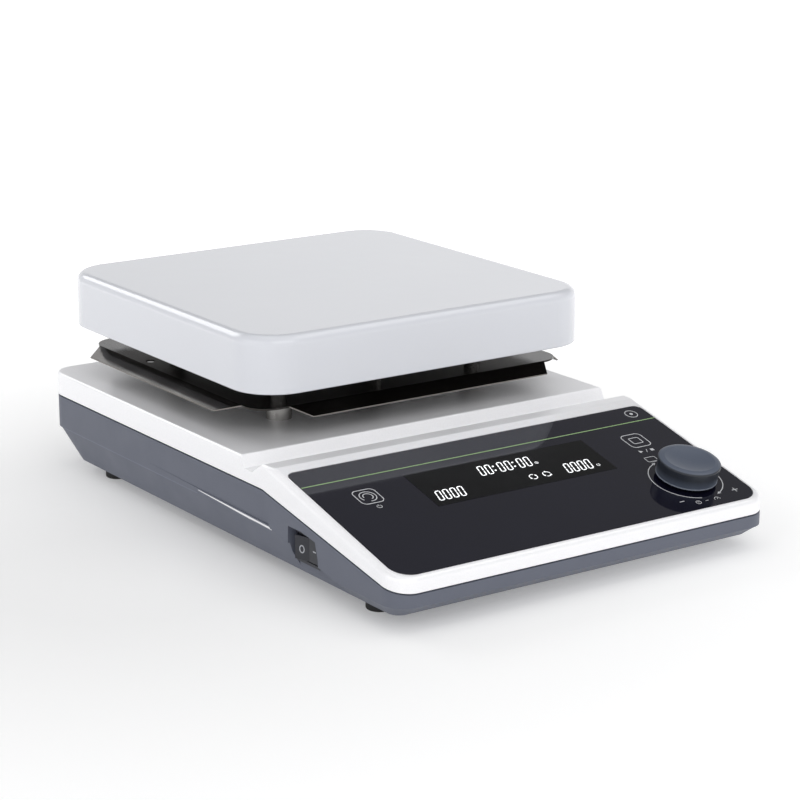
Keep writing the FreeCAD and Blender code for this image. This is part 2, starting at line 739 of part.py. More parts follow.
def board_chips():
    """Controller, driver and connectors on the hidden side of the board."""
    low = BOARD_TOP - BOARD_T
    chips = [
        slab(-12, 2, 40, 54, 0.5, low - 1.6, low),
        slab(20, 34, 44, 54, 0.5, low - 1.6, low),
        slab(-60, -44, 60, 66, 0.5, low - 6.0, low),
        slab(-40, -24, 60, 66, 0.5, low - 6.0, low),
    ]
    return on_panel(group(chips))


def board_standoffs():
    tubes = []
    for x, s in board_places():
        tube = cyl(3.0, x, s, BOARD_TOP, LEDGE_LOW)
        tubes.append(tube.cut(cyl(1.3, x, s, BOARD_TOP - 1, LEDGE_LOW - 2)))
    return on_panel(group(tubes))


def board_screws():
    low = BOARD_TOP - BOARD_T
    screws = []
    for x, s in board_places():
        screws.append(fuse([cyl(2.6, x, s, low - 1.8, low), cyl(1.25, x, s, low, LEDGE_LOW - 3)]))
    return on_panel(group(screws))


def touch_pads():
    """Sensing discs under the two touch keys, each on a sprung post from the board."""
    pads = []
    for x in (-KEY_X, KEY_X):
        disc = cyl(6.3, x, KEY_S, -GLASS_T - 0.9, -GLASS_T)
        pads.append(fuse([disc, cyl(2.2, x, KEY_S, BOARD_TOP, -GLASS_T - 0.9)]))
    return on_panel(group(pads))


def encoder_body():
    case = slab(KNOB_X - 6.2, KNOB_X + 6.2, KNOB_S - 6.2, KNOB_S + 6.2, 0.6, BOARD_TOP, -6.6)
    bush = cyl(3.5, KNOB_X, KNOB_S, -6.6, -1.2)
    bore = cyl(SHAFT_R + RUN_GAP, KNOB_X, KNOB_S, -9.0, 0.0)
    chamber = cyl(4.6, KNOB_X, KNOB_S, -12.1, -8.4)
    return on_panel(cut(fuse([case, bush]), [bore, chamber]))


def encoder_plunger():
    disc = cyl(4.25, KNOB_X, KNOB_S, -11.5, -9.5)
    pin = cyl(1.2, KNOB_X, KNOB_S, -9.5, -7.0)
    return on_panel(fuse([disc, pin]))


def encoder_shaft():
    shaft = cyl(SHAFT_R, KNOB_X, KNOB_S, -9.4, 7.6)
    bore = cyl(1.2 + RUN_GAP, KNOB_X, KNOB_S, -10.0, -6.8)
    flat = box(KNOB_X - 4, KNOB_X + 4, KNOB_S + 2.3, KNOB_S + 4, 2.4, 8.0)
    return on_panel(cut(shaft, [bore, flat]))


def knob():
    low = KNOB_LOW
    top = KNOB_TOP
    outline = [
        (SHAFT_R, low), (5.0, low), (5.0, top - 3.0), (KNOB_R - 2.4, top - 3.0),
        (KNOB_R - 2.4, low), (KNOB_R - 1.0, low), (KNOB_R - 0.6, low + 0.4),
        (KNOB_R, top - 1.25), (KNOB_R - 0.1, top - 0.8), (KNOB_R - 0.5, top - 0.5),
        (KNOB_R - 1.6, top - 0.15), (KNOB_R - 2.8, top), (0.0, top), (0.0, 7.7), (SHAFT_R, 7.7),
    ]
    ball_r = (DISH_R ** 2 + DISH_DEEP ** 2) / (2 * DISH_DEEP)
    dish = Part.makeSphere(ball_r, V(KNOB_X, KNOB_S, top - DISH_DEEP + ball_r))
    body = turned(outline, KNOB_X, KNOB_S).cut(dish)
    grip = box(KNOB_X - 4, KNOB_X + 4, KNOB_S + 2.35, KNOB_S + 3.2, 2.5, 7.7)
    return on_panel(fuse([body, grip]))


# ---------------------------------------------------------------- power entry
def rocker_switch_body():
    y = ROCKER_Y
    z = ROCKER_Z
    seat = ROCKER_SEAT_X
    bezel = box(seat - 1.0, seat, y - 10.0, y + 10.0, z - 7.0, z + 7.0)
    upright = [e for e in bezel.Edges if e.BoundBox.XLength > 0.9]
    bezel = bezel.makeFillet(1.5, upright)
    case = box(seat, seat + 15.0, y - 9.3, y + 9.3, z - 6.3, z + 6.3)
    well = box(seat - 2.0, seat + 8.0, y - 8.7, y + 8.7, z - 5.7, z + 5.7)
    blades = []
    for offset in (-5.0, 0.0, 5.0):
        blades.append(box(seat + 15.0, seat + 22.0, y + offset - 0.4, y + offset + 0.4, z - 2.4, z + 2.4))
    switch = cut(fuse([bezel, case]), [well])
    axle = cyl_along(1.0, V(ROCKER_PIVOT_X, y, z - 5.8), V(0, 0, 1), 11.6)
    return fuse([switch, axle] + blades)


def rocker_paddle():
    """Two shallow faces meeting over the axle, stored with the on side pressed in."""
    y = ROCKER_Y
    px = ROCKER_PIVOT_X
    z0 = ROCKER_Z - 5.4
    reach = 8.0
    crown = px - 2.2
    tip = px - 3.4
    outline = [
        (y - reach, px + 1.2), (y - reach, tip), (y, crown), (y + reach, tip),
        (y + reach, px + 1.2), (y, px + 4.5),
    ]
    corners = [V(x, yy, z0) for yy, x in outline]
    face = Part.Face(Part.makePolygon(corners + corners[:1]))
    paddle = face.extrude(V(0, 0, 10.8))
    paddle = paddle.cut(cyl_along(1.0 + RUN_GAP, V(px, y, z0 - 1), V(0, 0, 1), 14))
    paddle.rotate(V(px, y, 0), V(0, 0, 1), ROCKER_TILT)
    return paddle


def power_inlet():
    y = INLET_SEAT_Y
    x = INLET_X
    z = INLET_Z
    bezel = box(x - 24, x + 24, y, y + 2.0, z - 12.0, z + 12.0)
    upright = [e for e in bezel.Edges if e.BoundBox.YLength > 1.9]
    bezel = bezel.makeFillet(2.0, upright)
    case = box(x - 22, x + 22, y - 22, y, z - 10, z + 10)
    socket_x = x - 8.5
    cavity = [
        V(socket_x - 12.1, y - 14.5, z - 4.0), V(socket_x - 8.0, y - 14.5, z - 8.2),
        V(socket_x + 8.0, y - 14.5, z - 8.2), V(socket_x + 12.1, y - 14.5, z - 4.0),
        V(socket_x + 12.1, y - 14.5, z + 8.2), V(socket_x - 12.1, y - 14.5, z + 8.2),
    ]
    socket = Part.Face(Part.makePolygon(cavity + cavity[:1])).extrude(V(0, 20, 0))
    drawer_way = box(x + 7.2, x + 19.8, y - 20.0, y + 3, z - 8.0, z + 8.0)
    return cut(fuse([bezel, case]), [socket, drawer_way] + inlet_pin_solids())


def inlet_pin_solids():
    y = INLET_SEAT_Y
    x = INLET_X - 8.5
    z = INLET_Z
    pins = []
    for dx, dz in ((-7.0, -1.8), (0.0, 1.8), (7.0, -1.8)):
        pins.append(box(x + dx - 1.0, x + dx + 1.0, y - 28.0, y - 3.6, z + dz - 2.0, z + dz + 2.0))
    return pins


def inlet_pins():
    return group(inlet_pin_solids())


def fuse_drawer():
    y = INLET_SEAT_Y
    x = INLET_X + 13.5
    z = INLET_Z
    face = box(x - 6.0, x + 6.0, y + 2.2, y + 4.0, z - 7.7, z + 7.7)
    tray = box(x - 5.6, x + 5.6, y - 19.0, y + 2.2, z - 7.0, z + 1.0)
    bed = cyl_along(2.65, V(x, y - 18.0, z + 1.0), V(0, 1, 0), 20.6)
    lip = box(x - 2.5, x + 2.5, y + 4.0, y + 4.8, z + 4.6, z + 6.6)
    return fuse([face, tray, lip]).cut(bed)


def fuse_link():
    y = INLET_SEAT_Y
    x = INLET_X + 13.5
    z = INLET_Z + 1.0
    body = cyl_along(2.3, V(x, y - 12.5, z), V(0, 1, 0), 9.6)
    caps = [cyl_along(2.6, V(x, y - 17.7, z), V(0, 1, 0), 5.2), cyl_along(2.6, V(x, y - 2.9, z), V(0, 1, 0), 5.2)]
    return fuse([body] + caps)


def supply_places():
    return [(x, y) for x in (46.0, 88.0) for y in (-6.0, 95.0)]


def supply_board():
    board = slab(40.0, 93.0, -12.0, 101.0, 2.0, 13.0, 14.6)
    return cut(board, [cyl(1.4, x, y, 10, 20) for x, y in supply_places()])


def supply_screws():
    screws = []
    for x, y in supply_places():
        screws.append(fuse([cyl(2.4, x, y, 14.6, 16.4), cyl(1.15, x, y, 9.5, 14.6)]))
    return group(screws)


def supply_parts():
    """Transformer, reservoir capacitors, filter choke and triac heat sink."""
    z = 14.6
    core = box(50, 78, 24, 46, z, z + 19)
    winding = slab(53, 75, 18, 52, 3.0, z, z + 15)
    transformer = fuse([core, winding])
    caps = [cyl(6.0, 54 + 15 * k, 66, z, z + 20) for k in range(3)]
    choke = slab(62, 84, 76, 88, 2.0, z, z + 12)
    fins = [box(46 + 4 * k, 48 + 4 * k, 2, 14, z + 2, z + 18) for k in range(9)]
    sink = fuse([box(46, 80, 2, 14, z, z + 2)] + fins)
    return group([transformer] + caps + [choke, sink])


# ---------------------------------------------------------------- export
PARTS = {
    "lower_housing": lower_housing,
    "top_cover": top_cover,
    "accent_strips": accent_strips,
    "rubber_feet": rubber_feet,
    "housing_screws": housing_screws,
    "top_plate": top_plate,
    "heating_element": heating_element,
    "insulation_pad": insulation_pad,
    "heater_cover": heater_cover,
    "heat_shield": heat_shield,
    "deck_posts": deck_posts,
    "plate_posts": plate_posts,
    "plate_screws": plate_screws,
    "temperature_sensor": temperature_sensor,
    "sensor_grommet": sensor_grommet,
    "lead_sleeve": lead_sleeve,
    "lead_grommet": lead_grommet,
    "motor_bracket": motor_bracket,
    "bracket_screws": bracket_screws,
    "motor_screws": motor_screws,
    "motor_can": motor_can,
    "motor_bearings": motor_bearings,
    "motor_stator": motor_stator,
    "motor_rotor": motor_rotor,
    "motor_shaft": motor_shaft,
    "magnet_carrier": magnet_carrier,
    "carrier_screw": carrier_screw,
    "drive_magnets": drive_magnets,
    "glass_panel": glass_panel,
    "display_module": display_module,
    "control_board": control_board,
    "board_chips": board_chips,
    "board_standoffs": board_standoffs,
    "board_screws": board_screws,
    "touch_pads": touch_pads,
    "encoder_body": encoder_body,
    "encoder_plunger": encoder_plunger,
    "encoder_shaft": encoder_shaft,
    "knob": knob,
    "rocker_switch_body": rocker_switch_body,
    "rocker_paddle": rocker_paddle,
    "power_inlet": power_inlet,
    "inlet_pins": inlet_pins,
    "fuse_drawer": fuse_drawer,
    "fuse_link": fuse_link,
    "supply_board": supply_board,
    "supply_screws": supply_screws,
    "supply_parts": supply_parts,
}

os.makedirs("parts", exist_ok=True)
for name, build in PARTS.items():
    build().exportStep("parts/" + name + ".step")
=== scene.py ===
import math

import bmesh
import bpy
from mathutils import Matrix, Vector


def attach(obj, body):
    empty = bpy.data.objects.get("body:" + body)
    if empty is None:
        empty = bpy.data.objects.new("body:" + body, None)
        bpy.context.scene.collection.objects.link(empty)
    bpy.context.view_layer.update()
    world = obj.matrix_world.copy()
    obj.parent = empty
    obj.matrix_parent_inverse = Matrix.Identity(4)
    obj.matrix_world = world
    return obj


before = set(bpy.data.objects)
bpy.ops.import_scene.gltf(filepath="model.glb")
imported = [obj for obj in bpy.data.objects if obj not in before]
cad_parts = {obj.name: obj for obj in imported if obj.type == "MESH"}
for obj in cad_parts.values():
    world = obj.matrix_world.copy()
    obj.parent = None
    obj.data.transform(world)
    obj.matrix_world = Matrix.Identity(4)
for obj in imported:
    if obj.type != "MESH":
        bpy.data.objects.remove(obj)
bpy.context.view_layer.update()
MM = 0.001

# ---------------------------------------------------------------- panel frame (mm)
PANEL_TILT = math.radians(14.37)
PANEL_Y = -150.0
PANEL_Z = 25.32
PRINT_LIFT = 0.02
PRINT_THICK = 0.05
KNOB_X = 74.96
KNOB_S = 23.27
KNOB_FOOT_R = 14.1
CREASE_Z = 21.0
CREASE_FRONT_Y = 8.0
SHIELD_Y = 59.2          # middle of the shield
WING_FOLD_Z = 63.6
WING_EDGE_Z = 59.2
CUT_EDGE_T = 0.45


def panel_matrix():
    """From panel coordinates (x, up-slope, height) in metres to the object's frame."""
    place = Matrix.Translation(Vector((0.0, PANEL_Y, PANEL_Z)) * MM)
    return place @ Matrix.Rotation(PANEL_TILT, 4, "X")


# ---------------------------------------------------------------- colours
def linear(rgb):
    out = []
    for value in rgb:
        c = value / 255.0
        out.append(c / 12.92 if c <= 0.04045 else ((c + 0.055) / 1.055) ** 2.4)
    return out


def shade(rgb, factor):
    return [min(1.0, c * factor) for c in rgb] + [1.0]


# ---------------------------------------------------------------- material building blocks
class Surface:
    """A Principled material with procedural colour, roughness and bump in object space."""

    def __init__(self, name, rgb, metallic=0.0, roughness=0.5):
        self.material = bpy.data.materials.new(name)
        self.material.use_nodes = True
        self.tree = self.material.node_tree
        self.shader = self.tree.nodes["Principled BSDF"]
        self.rgb = linear(rgb)
        self.shader.inputs["Base Color"].default_value = shade(self.rgb, 1.0)
        self.shader.inputs["Metallic"].default_value = metallic
        self.shader.inputs["Roughness"].default_value = roughness
        self.coords = self.tree.nodes.new("ShaderNodeTexCoord").outputs["Object"]
        self.normal = None

    def node(self, kind, **values):
        made = self.tree.nodes.new(kind)
        for key, value in values.items():
            setattr(made, key, value)
        return made

    def link(self, source, target):
        self.tree.links.new(source, target)

    def stretched(self, scale, rotation=(0.0, 0.0, 0.0)):
        mapping = self.node("ShaderNodeMapping")
        mapping.inputs["Scale"].default_value = scale
        mapping.inputs["Rotation"].default_value = rotation
        self.link(self.coords, mapping.inputs["Vector"])
        return mapping.outputs["Vector"]

    def noise(self, scale, detail=3.0, vector=None, distortion=0.0):
        made = self.node("ShaderNodeTexNoise")
        made.inputs["Scale"].default_value = scale
        made.inputs["Detail"].default_value = detail
        made.inputs["Distortion"].default_value = distortion
        self.link(vector or self.coords, made.inputs["Vector"])
        return made.outputs["Fac"]

    def remap(self, source, low, high, start=0.3, end=0.7):
        made = self.node("ShaderNodeMapRange")
        made.inputs["From Min"].default_value = start
        made.inputs["From Max"].default_value = end
        made.inputs["To Min"].default_value = low
        made.inputs["To Max"].default_value = high
        self.link(source, made.inputs["Value"])
        return made.outputs["Result"]

    def ramp(self, source, stops):
        made = self.node("ShaderNodeValToRGB")
        ramp = made.color_ramp
        while len(ramp.elements) < len(stops):
            ramp.elements.new(0.5)
        for element, (place, colour) in zip(ramp.elements, stops):
            element.position = place
            element.color = colour
        self.link(source, made.inputs["Fac"])
        return made.outputs["Color"]

    def mottle(self, scale, spread, detail=4.0):
        """Base colour that drifts a little lighter and darker."""
        stops = [(0.3, shade(self.rgb, 1.0 - spread)), (0.7, shade(self.rgb, 1.0 + spread))]
        colour = self.ramp(self.noise(scale, detail), stops)
        self.link(colour, self.shader.inputs["Base Color"])
        return self

    def scaled(self, colour, factor):
        made = self.node("ShaderNodeVectorMath", operation="SCALE")
        self.link(colour, made.inputs[0])
        self.link(factor, made.inputs["Scale"])
        return made.outputs["Vector"]

    def uneven_gloss(self, scale, low, high, detail=3.0, vector=None):
        gloss = self.remap(self.noise(scale, detail, vector), low, high)
        self.link(gloss, self.shader.inputs["Roughness"])
        return self

    def bump(self, height, depth, strength=1.0):
        made = self.node("ShaderNodeBump")
        made.inputs["Strength"].default_value = strength
        made.inputs["Distance"].default_value = depth
        self.link(height, made.inputs["Height"])
        if self.normal is not None:
            self.link(self.normal, made.inputs["Normal"])
        self.normal = made.outputs["Normal"]
        self.link(self.normal, self.shader.inputs["Normal"])
        return self

    def set(self, **values):
        for key, value in values.items():
            self.shader.inputs[key.replace("_", " ")].default_value = value
        return self


def moulded(name, rgb, low, high, grain=1400.0, depth=0.00002, spread=0.03):
    """Injection-moulded plastic with a spark-eroded grain."""
    made = Surface(name, rgb)
    made.mottle(18.0, spread).uneven_gloss(60.0, low, high)
    made.bump(made.noise(grain, 4.0), depth, 0.5)
    return made


def turned_metal(name, rgb, low, high):
    """Bright metal with fine turning marks."""
    made = Surface(name, rgb, metallic=1.0)
    rings = made.stretched((40.0, 40.0, 5200.0))
    made.mottle(90.0, 0.06).uneven_gloss(220.0, low, high)
    made.bump(made.noise(1.0, 2.0, rings), 0.00002, 0.5)
    return made


def sheet_metal(name, rgb, low, high):
    """Rolled sheet with a faint grain along Y."""
    made = Surface(name, rgb, metallic=1.0)
    grain = made.stretched((2600.0, 60.0, 2600.0))
    made.mottle(40.0, 0.07).uneven_gloss(1.0, low, high, 3.0, grain)
    made.bump(made.noise(1.0, 2.0, grain), 0.00001, 0.5)
    return made


def pearl_cover():
    """Satin white with fine pearl flakes."""
    made = Surface("cover_pearl_white", (250, 250, 252), metallic=0.25, roughness=0.36)
    made.mottle(1800.0, 0.02, 1.0)
    made.uneven_gloss(45.0, 0.34, 0.42)
    made.set(Coat_Weight=0.25, Coat_Roughness=0.2)
    return made


def enamel():
    """Glossy white vitreous coat with a slight orange-peel."""
    made = Surface("plate_enamel_white", (213, 215, 221), roughness=0.16)
    made.mottle(7.0, 0.012, 2.0)
    made.uneven_gloss(25.0, 0.14, 0.2)
    made.bump(made.noise(70.0, 2.0), 0.00012, 0.25)
    made.set(Coat_Weight=0.6, Coat_Roughness=0.06)
    return made


def black_glass():
    made = Surface("panel_black_glass", (16, 16, 30), roughness=0.05)
    made.mottle(30.0, 0.08)
    made.uneven_gloss(14.0, 0.03, 0.06, 5.0)
    made.bump(made.noise(26.0, 1.0), 0.00001, 0.3)
    made.set(IOR=1.5)
    return made


def display_filter():
    made = moulded("display_dark_filter", (12, 12, 13), 0.3, 0.4, 2600.0, 0.000004)
    return made.set(Specular_IOR_Level=0.12)


def polished_sheet():
    """Mirror-polished stainless with a brown heat tint and fine wipe marks."""
    made = Surface("shield_polished_steel", (56, 54, 53), metallic=0.9, roughness=0.12)
    stops = [
        (0.32, shade(linear((40, 37, 36)), 1.0)),
        (0.52, shade(made.rgb, 1.0)),
        (0.72, shade(linear((78, 76, 75)), 1.0)),
    ]
    tint = made.ramp(made.noise(22.0, 5.0, distortion=0.6), stops)
    made.link(tint, made.shader.inputs["Base Color"])
    wipes = made.stretched((900.0, 45.0, 900.0), (0.0, 0.0, 0.12))
    made.uneven_gloss(1.0, 0.06, 0.2, 4.0, wipes)
    made.bump(made.noise(1.0, 2.0, wipes), 0.000008, 0.5)
    return made


def slate_housing():
    """Grained slate plastic with a painted highlight: a lighter line along the rear part of the
    crease, where the crease edge catches the light.
    """
    made = moulded("housing_slate_grey", (99, 103, 115), 0.42, 0.52).set(Specular_IOR_Level=0.3)
    split = made.node("ShaderNodeSeparateXYZ")
    made.link(made.coords, split.inputs["Vector"])
    level = made.node("ShaderNodeMath", operation="COMPARE")
    level.inputs[1].default_value = CREASE_Z * MM
    level.inputs[2].default_value = 0.28 * MM
    made.link(split.outputs["Z"], level.inputs[0])
    rear = made.node("ShaderNodeMath", operation="GREATER_THAN")
    rear.inputs[1].default_value = CREASE_FRONT_Y * MM
    made.link(split.outputs["Y"], rear.inputs[0])
    both = made.node("ShaderNodeMath", operation="MULTIPLY")
    made.link(level.outputs["Value"], both.inputs[0])
    made.link(rear.outputs["Value"], both.inputs[1])
    base = made.shader.inputs["Base Color"]
    # painted highlight: the base colour is lightened 1.4 times in a thin band along the crease,
    # behind CREASE_FRONT_Y
    crease_painted_highlight = made.remap(both.outputs["Value"], 1.0, 1.4, 0.0, 1.0)
    made.link(made.scaled(base.links[0].from_socket, crease_painted_highlight), base)
    return made


def knob_finish():
    """Satin slate cap whose sides are darkened by distance from the knob's axis, a painted
    reflection of the black glass around the knob.
    """
    made = moulded("knob_slate_satin", (80, 88, 103), 0.34, 0.4, 2200.0, 0.00001, 0.02)
    local = made.node("ShaderNodeMapping", vector_type="TEXTURE")
    centre = panel_matrix() @ (Vector((KNOB_X, KNOB_S, 0.0)) * MM)
    local.inputs["Location"].default_value = centre
    local.inputs["Rotation"].default_value = (PANEL_TILT, 0.0, 0.0)
    made.link(made.coords, local.inputs["Vector"])
    flat = made.node("ShaderNodeVectorMath", operation="MULTIPLY")
    flat.inputs[1].default_value = (1.0, 1.0, 0.0)
    made.link(local.outputs["Vector"], flat.inputs[0])
    away = made.node("ShaderNodeVectorMath", operation="LENGTH")
    made.link(flat.outputs["Vector"], away.inputs[0])
    # painted reflection: from 13.9 mm to 14.35 mm from the axis the colour falls to 0.22 of the
    # base, standing in for the black glass mirrored in the knob's sides
    side_painted_reflection = made.remap(away.outputs["Value"], 1.0, 0.22, 13.9 * MM, 14.35 * MM)
    base = made.shader.inputs["Base Color"]
    made.link(made.scaled(base.links[0].from_socket, side_painted_reflection), base)
    return made


def heater_tracks():
    made = Surface("heater_mica", (196, 186, 160), roughness=0.55)
    flakes = made.node("ShaderNodeTexVoronoi")
    flakes.inputs["Scale"].default_value = 420.0
    made.link(made.coords, flakes.inputs["Vector"])
    stops = [(0.0, shade(made.rgb, 0.75)), (1.0, shade(made.rgb, 1.1))]
    made.link(made.ramp(flakes.outputs["Distance"], stops), made.shader.inputs["Base Color"])
    made.bump(made.noise(800.0, 3.0), 0.00004, 0.6)
    return made


def fibre_pad():
    made = Surface("pad_fibre", (214, 208, 192), roughness=0.95)
    made.mottle(240.0, 0.12)
    made.bump(made.noise(900.0, 6.0, distortion=1.5), 0.0003, 0.9)
    return made


def circuit_board(name):
    made = Surface(name, (20, 82, 46), roughness=0.35)
    weave = made.node("ShaderNodeTexBrick")
    weave.inputs["Scale"].default_value = 420.0
    weave.inputs["Mortar Size"].default_value = 0.03
    weave.inputs["Color1"].default_value = shade(made.rgb, 1.0)
    weave.inputs["Color2"].default_value = shade(made.rgb, 0.85)
    weave.inputs["Mortar"].default_value = shade(made.rgb, 1.7)
    made.link(made.coords, weave.inputs["Vector"])
    made.link(weave.outputs["Color"], made.shader.inputs["Base Color"])
    made.bump(weave.outputs["Fac"], 0.00003, 0.4)
    made.uneven_gloss(80.0, 0.3, 0.42)
    return made


def rubber():
    made = Surface("foot_rubber_black", (22, 22, 23), roughness=0.7)
    made.mottle(300.0, 0.15).uneven_gloss(160.0, 0.6, 0.82)
    made.bump(made.noise(1800.0, 4.0), 0.00004, 0.7)
    return made


def printed_ink(name, rgb, glow=0.0):
    """Screen print; glow makes it a lit display segment."""
    made = Surface(name, rgb, roughness=0.45)
    made.mottle(1500.0, 0.05, 2.0)
    made.bump(made.noise(4000.0, 2.0), 0.000004, 0.4)
    if glow:
        made.set(Emission_Color=shade(made.rgb, 1.0), Emission_Strength=glow)
    return made


SURFACES = {
    "cover": pearl_cover(),
    "accent": moulded("accent_white", (236, 236, 238), 0.32, 0.42),
    "housing": slate_housing(),
    "enamel": enamel(),
    "rubber": rubber(),
    "fastener": turned_metal("fastener_zinc", (176, 178, 182), 0.25, 0.4),
    "mica": heater_tracks(),
    "fibre": fibre_pad(),
    "dark_sheet": sheet_metal("heater_cover_sheet", (92, 90, 88), 0.35, 0.5),
    "shield": polished_sheet(),
    # paler metal for the shield's sheared edges, partly their own colour and partly a painted
    # highlight along the wing edges
    "cut_edge": turned_metal("shield_cut_edge_and_painted_highlight", (140, 136, 132), 0.25, 0.4),
    "post": turned_metal("post_turned_steel", (170, 168, 165), 0.18, 0.3),
    "bracket": sheet_metal("bracket_zinc_sheet", (168, 170, 176), 0.3, 0.45),
    "bronze": turned_metal("bearing_bronze", (170, 124, 72), 0.3, 0.42),
    "core": sheet_metal("motor_laminations", (120, 122, 126), 0.35, 0.5),
    "magnet": turned_metal("magnet_nickel", (190, 186, 176), 0.15, 0.25),
    "carrier": turned_metal("carrier_aluminium", (196, 198, 202), 0.25, 0.38),
    "glass": black_glass(),
    "display": display_filter(),
    "board": circuit_board("circuit_board_green"),
    "component": moulded("component_black", (28, 28, 30), 0.4, 0.55, 2400.0),
    "pad": turned_metal("touch_pad_copper", (184, 115, 72), 0.3, 0.42),
    "knob": knob_finish(),
    # painted highlight: the ring at the knob's foot is coloured light grey to stand in for the light
    # caught along the knob's lower edge
    "knob_edge": moulded("knob_edge_painted_highlight", (128, 134, 146), 0.3, 0.4, 2200.0, 0.00001, 0.02),
    "switch": moulded("switch_black", (34, 36, 44), 0.28, 0.38, 1800.0, 0.00001),
    "brass": turned_metal("pin_nickel_brass", (198, 178, 120), 0.2, 0.32),
    "fuse": moulded("fuse_glass_tube", (176, 184, 188), 0.06, 0.14, 600.0, 0.000005),
    "ink": printed_ink("print_light_grey", (206, 207, 210)),
    "ink_green": printed_ink("print_green_line", (150, 184, 128)),
    "segment": printed_ink("display_segment", (240, 242, 244), 0.9),
    "mark": printed_ink("switch_mark_white", (172, 174, 180)),
}

NODE_SURFACE = {
    "lower_housing": "housing",
    "top_cover": "cover",
    "accent_strips": "accent",
    "rubber_feet": "rubber",
    "housing_screws": "fastener",
    "top_plate": "enamel",
    "heating_element": "mica",
    "insulation_pad": "fibre",
    "heater_cover": "dark_sheet",
    "heat_shield": "shield",
    "deck_posts": "post",
    "plate_posts": "post",
    "plate_screws": "fastener",
    "temperature_sensor": "post",
    "sensor_grommet": "rubber",
    "lead_sleeve": "fibre",
    "lead_grommet": "rubber",
    "motor_bracket": "bracket",
    "bracket_screws": "fastener",
    "motor_screws": "fastener",
    "motor_can": "bracket",
    "motor_bearings": "bronze",
    "motor_stator": "core",
    "motor_rotor": "core",
    "motor_shaft": "post",
    "magnet_carrier": "carrier",
    "carrier_screw": "fastener",
    "drive_magnets": "magnet",
    "glass_panel": "glass",
    "display_module": "display",
    "control_board": "board",
    "board_chips": "component",
    "board_standoffs": "brass",
    "board_screws": "fastener",
    "touch_pads": "pad",
    "encoder_body": "component",
    "encoder_plunger": "component",
    "encoder_shaft": "post",
    "knob": "knob",
    "rocker_switch_body": "switch",
    "rocker_paddle": "switch",
    "power_inlet": "switch",
    "inlet_pins": "brass",
    "fuse_drawer": "switch",
    "fuse_link": "fuse",
    "supply_board": "board",
    "supply_screws": "fastener",
    "supply_parts": "component",
}


def paint(obj, key):
    obj.data.materials.clear()
    obj.data.materials.append(SURFACES[key].material)


for node_name, node_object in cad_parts.items():
    paint(node_object, NODE_SURFACE[node_name])


# ---------------------------------------------------------------- flat printed pieces
def mesh_piece(name, build, key, body, matrix):
    """A new piece from a bmesh builder; build works in millimetres in the matrix's frame."""
    work = bmesh.new()
    build(work)
    bmesh.ops.recalc_face_normals(work, faces=work.faces)
    bmesh.ops.scale(work, vec=(MM, MM, MM), verts=work.verts)
    bmesh.ops.transform(work, matrix=matrix, verts=work.verts)
    mesh = bpy.data.meshes.new(name)
    work.to_mesh(mesh)
    work.free()
    piece = bpy.data.objects.new(name, mesh)
    bpy.context.scene.collection.objects.link(piece)
    piece.data.materials.append(SURFACES[key].material)
    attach(piece, body)
    return piece


def prism(work, outline, low, high):
    """Closed solid from a flat convex outline."""
    bottom = [work.verts.new((x, s, low)) for x, s in outline]
    top = [work.verts.new((x, s, high)) for x, s in outline]
    work.faces.new(bottom[::-1])
    work.faces.new(top)
    count = len(outline)
    for i in range(count):
        j = (i + 1) % count
        work.faces.new((bottom[i], bottom[j], top[j], top[i]))


def band(work, path, width, closed, low, high):
    """Closed solid that follows a flat path with mitred corners."""
    count = len(path)
    half = width / 2
    sides = ([], [])
    for i, (x, s) in enumerate(path):
        before = path[(i - 1) % count] if closed or i else path[i]
        after = path[(i + 1) % count] if closed or i < count - 1 else path[i]
        ahead = Vector((after[0] - before[0], after[1] - before[1])).normalized()
        one = Vector((x - before[0], s - before[1]))
        miter = 1.0
        if one.length > 1e-9:
            miter = max(0.5, one.normalized().dot(ahead))
        across = Vector((-ahead.y, ahead.x)) * half / miter
        sides[0].append((x + across.x, s + across.y))
        sides[1].append((x - across.x, s - across.y))
    rings = []
    for (lx, ls), (rx, rs) in zip(*sides):
        corners = ((lx, ls, high), (rx, rs, high), (rx, rs, low), (lx, ls, low))
        rings.append([work.verts.new(corner) for corner in corners])
    for i in range(count if closed else count - 1):
        a = rings[i]
        b = rings[(i + 1) % count]
        for k in range(4):
            m = (k + 1) % 4
            work.faces.new((a[k], a[m], b[m], b[k]))
    if not closed:
        work.faces.new(rings[0])
        work.faces.new(rings[-1][::-1])


def arc(cx, cs, radius, start, end, steps=40):
    points = []
    for i in range(steps + 1):
        angle = math.radians(start + (end - start) * i / steps)
        points.append((cx + radius * math.cos(angle), cs + radius * math.sin(angle)))
    return points


def circle(cx, cs, radius, steps=40):
    return arc(cx, cs, radius, 0.0, 360.0, steps)[:-1]


def rounded_square(cx, cs, half_x, half_s, radius, steps=8):
    points = []
    for sx, ss, start in ((1, 1, 0), (-1, 1, 90), (-1, -1, 180), (1, -1, 270)):
        centre = (cx + sx * (half_x - radius), cs + ss * (half_s - radius))
        points += arc(centre[0], centre[1], radius, start, start + 90, steps)
    return points


LOW = PRINT_LIFT
HIGH = PRINT_LIFT + PRINT_THICK
KEY_LINE = 0.42
DIAL_LINE = 0.45
DIAL_R = 17.2
DIAL_ARROW = 1.7


def printed(name, build, key="ink"):
    return mesh_piece(name, build, key, "base", panel_matrix())


def arrow_head(work, cx, cs, radius, angle, turn, size):
    """Small solid triangle at the end of an arc; turn is +1 anticlockwise."""
    a = math.radians(angle)
    tip = Vector((-math.sin(a), math.cos(a))) * turn
    out = Vector((math.cos(a), math.sin(a)))
    foot = Vector((cx, cs)) + out * radius
    heel = foot - tip * size * 0.3
    points = [foot + tip * size, heel + out * size * 0.5, heel - out * size * 0.5]
    if turn > 0:
        points = points[::-1]
    prism(work, [(p.x, p.y) for p in points], LOW, HIGH)


